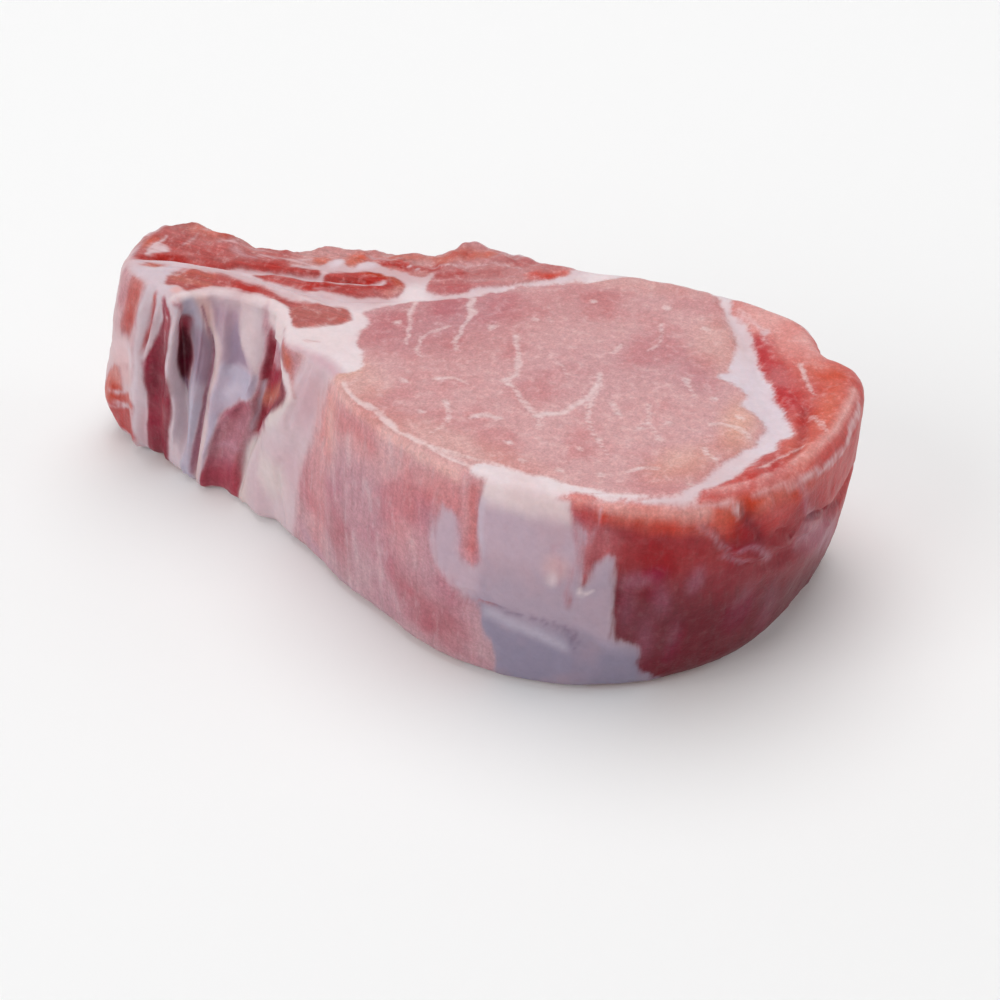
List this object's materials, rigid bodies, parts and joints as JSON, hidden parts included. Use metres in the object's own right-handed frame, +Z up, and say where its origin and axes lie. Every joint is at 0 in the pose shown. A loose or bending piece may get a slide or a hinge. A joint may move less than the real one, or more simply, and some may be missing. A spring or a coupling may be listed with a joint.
{
  "type": "raw pork chop",
  "caption": "Thick raw boneless pork chop lying on one cut face, with pale eye muscle, redder cap muscle, streaky tail, fat seam and a patch of silverskin on its side.",
  "frame": {"origin": "on the surface that the chop lies on, below the middle of its box", "axes": "+X along the chop from its thin tail to the cap muscle, +Y to its back side, +Z up out of the upper cut face"},
  "size_m": [0.1692, 0.0842, 0.0485],
  "materials": {
    "meat": "raw meat with fat and silverskin, moist, low gloss"
  },
  "bodies": {
    "root": {"chop": "meat"}
  },
  "joints": []
}
